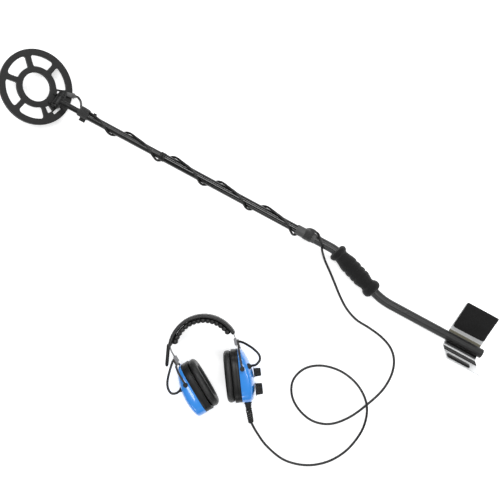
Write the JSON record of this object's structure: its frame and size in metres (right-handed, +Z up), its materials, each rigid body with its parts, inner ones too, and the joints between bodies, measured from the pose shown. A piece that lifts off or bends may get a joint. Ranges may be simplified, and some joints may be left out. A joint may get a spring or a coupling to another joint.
{
  "type": "metal detector",
  "caption": "Metal detector: tilting ring coil on a telescoping cable-wound wand with foam grip and arm cuff, corded to control headphones lying beside it.",
  "frame": {"origin": "centre of the bounding box of everything but the cord, on the table that the detector lies on", "axes": "+X along the wand from the search coil towards the arm cuff, +Z up from the table, +Y to the side away from the headphones"},
  "size_m": [1.3932, 0.6332, 0.1183],
  "materials": {
    "coil_plastic": "fine matte moulding",
    "cover_plastic": "smooth matte",
    "copper": "enamelled copper wire",
    "label": "plain printed film",
    "grey_plastic": "satin",
    "black_plastic": "satin moulded",
    "stem_coat": "matte black coat",
    "tube_gloss": "gloss black coat",
    "handle_coat": "matte dark grey powder coat",
    "collar_grey": "satin",
    "strap_weave": "hook and loop webbing",
    "foam": "closed-cell foam",
    "rubber": "matte",
    "bare_aluminium": "brushed",
    "steel": "satin",
    "cord_jacket": "satin jacket",
    "band_leather": "smooth vinyl",
    "yoke_paint": "satin",
    "blue_gloss": "gloss",
    "pad_leather": "soft vinyl",
    "knob_black": "satin",
    "speaker": "paper cone",
    "board": "solder mask",
    "battery": "satin"
  },
  "bodies": {
    "handle": {"handle_tube": "handle_coat", "tube_collar": "collar_grey", "rear_cable_strap": "strap_weave", "grip_foam": "foam", "end_plug": "rubber", "cuff_saddle": "black_plastic", "cuff_plate": "bare_aluminium", "cuff_screws": "steel", "cuff_pad_wide": "foam", "cuff_pad_narrow": "foam", "wound_cable_rear": "cord_jacket", "free_cord": "cord_jacket", "spiral_relief": "rubber", "cord_boot": "rubber", "cup_shell_right": "blue_gloss", "cup_back_right": "black_plastic", "ear_pad_right": "pad_leather", "speaker_right": "speaker", "circuit_board": "board", "battery": "battery", "potentiometers": "steel", "cable_grommet_right": "rubber"},
    "middle_tube": {"middle_tube": "tube_gloss", "tube_bush": "black_plastic"},
    "lower_stem": {"lower_stem": "stem_coat", "stem_tip": "black_plastic", "front_cable_strap": "strap_weave", "cable_clip": "black_plastic", "wound_cable_front": "cord_jacket", "coil_lead": "cord_jacket"},
    "coil": {"coil_housing": "coil_plastic", "coil_cover": "cover_plastic", "transmit_winding": "copper", "receive_winding": "copper", "coil_label": "label", "coil_gland": "grey_plastic", "coil_bolt": "black_plastic", "coil_washers": "rubber"},
    "coil_nut": {"coil_nut": "black_plastic"},
    "right_yoke": {"yoke_right": "yoke_paint", "slider_right": "steel", "pivot_pins_right": "black_plastic", "cross_cable_right": "cord_jacket"},
    "headband": {"headband_spring": "steel", "headband_cover": "band_leather", "headband_pad": "pad_leather"},
    "left_yoke": {"yoke_left": "yoke_paint", "slider_left": "steel", "pivot_pins_left": "black_plastic", "cross_cable_left": "cord_jacket"},
    "left_cup": {"cup_shell_left": "blue_gloss", "cup_back_left": "black_plastic", "ear_pad_left": "pad_leather", "speaker_left": "speaker", "cable_grommet_left": "rubber"},
    "knob_upper": {"knob_upper": "knob_black"},
    "knob_front": {"knob_front": "knob_black"},
    "knob_rear": {"knob_rear": "knob_black"}
  },
  "joints": [
    {"name": "middle_tube_slide", "type": "slide", "parent": "handle", "child": "middle_tube", "axis": [0.9998, 0, -0.0198], "range_m": [0, 0.05], "deforming": ["wound_cable_rear"]},
    {"name": "stem_slide", "type": "slide", "parent": "middle_tube", "child": "lower_stem", "axis": [0.9998, 0, -0.0198], "range_m": [0, 0.12], "deforming": ["wound_cable_front"]},
    {"name": "coil_tilt", "type": "hinge", "parent": "lower_stem", "child": "coil", "pos_m": [-0.551, 0.2145, 0.04994], "axis": [-0.0068, 0.9397, -0.342], "range_deg": [-28, 75], "deforming": ["coil_lead"]},
    {"name": "coil_nut_turn", "type": "hinge", "parent": "coil", "child": "coil_nut", "pos_m": [-0.55112, 0.23141, 0.04378], "axis": [-0.0068, 0.9397, -0.342], "continuous": true},
    {"name": "right_cup_tilt", "type": "hinge", "parent": "handle", "child": "right_yoke", "pos_m": [0.17219, -0.15294, 0.056], "axis": [0, 0, 1], "range_deg": [-10, 5], "deforming": ["cross_cable_right"]},
    {"name": "right_slider", "type": "slide", "parent": "right_yoke", "child": "headband", "axis": [-0.628, 0.7782, 0], "range_m": [0, 0.012]},
    {"name": "left_slider", "type": "slide", "parent": "headband", "child": "left_yoke", "axis": [0.8563, -0.5165, 0], "range_m": [-0.008, 0.01]},
    {"name": "left_cup_tilt", "type": "hinge", "parent": "left_yoke", "child": "left_cup", "pos_m": [0.06872, -0.25339, 0.056], "axis": [0, 0, 1], "range_deg": [-10, 5], "deforming": ["cross_cable_left"]},
    {"name": "knob_upper_turn", "type": "hinge", "parent": "handle", "child": "knob_upper", "pos_m": [0.20768, -0.15167, 0.056], "axis": [0.8251, 0.565, 0], "range_deg": [-150, 150]},
    {"name": "knob_front_turn", "type": "hinge", "parent": "handle", "child": "knob_front", "pos_m": [0.23141, -0.18633, 0.0795], "axis": [0.8251, 0.565, 0], "range_deg": [-150, 150]},
    {"name": "knob_rear_turn", "type": "hinge", "parent": "handle", "child": "knob_rear", "pos_m": [0.23141, -0.18633, 0.0325], "axis": [0.8251, 0.565, 0], "range_deg": [-150, 150]}
  ]
}
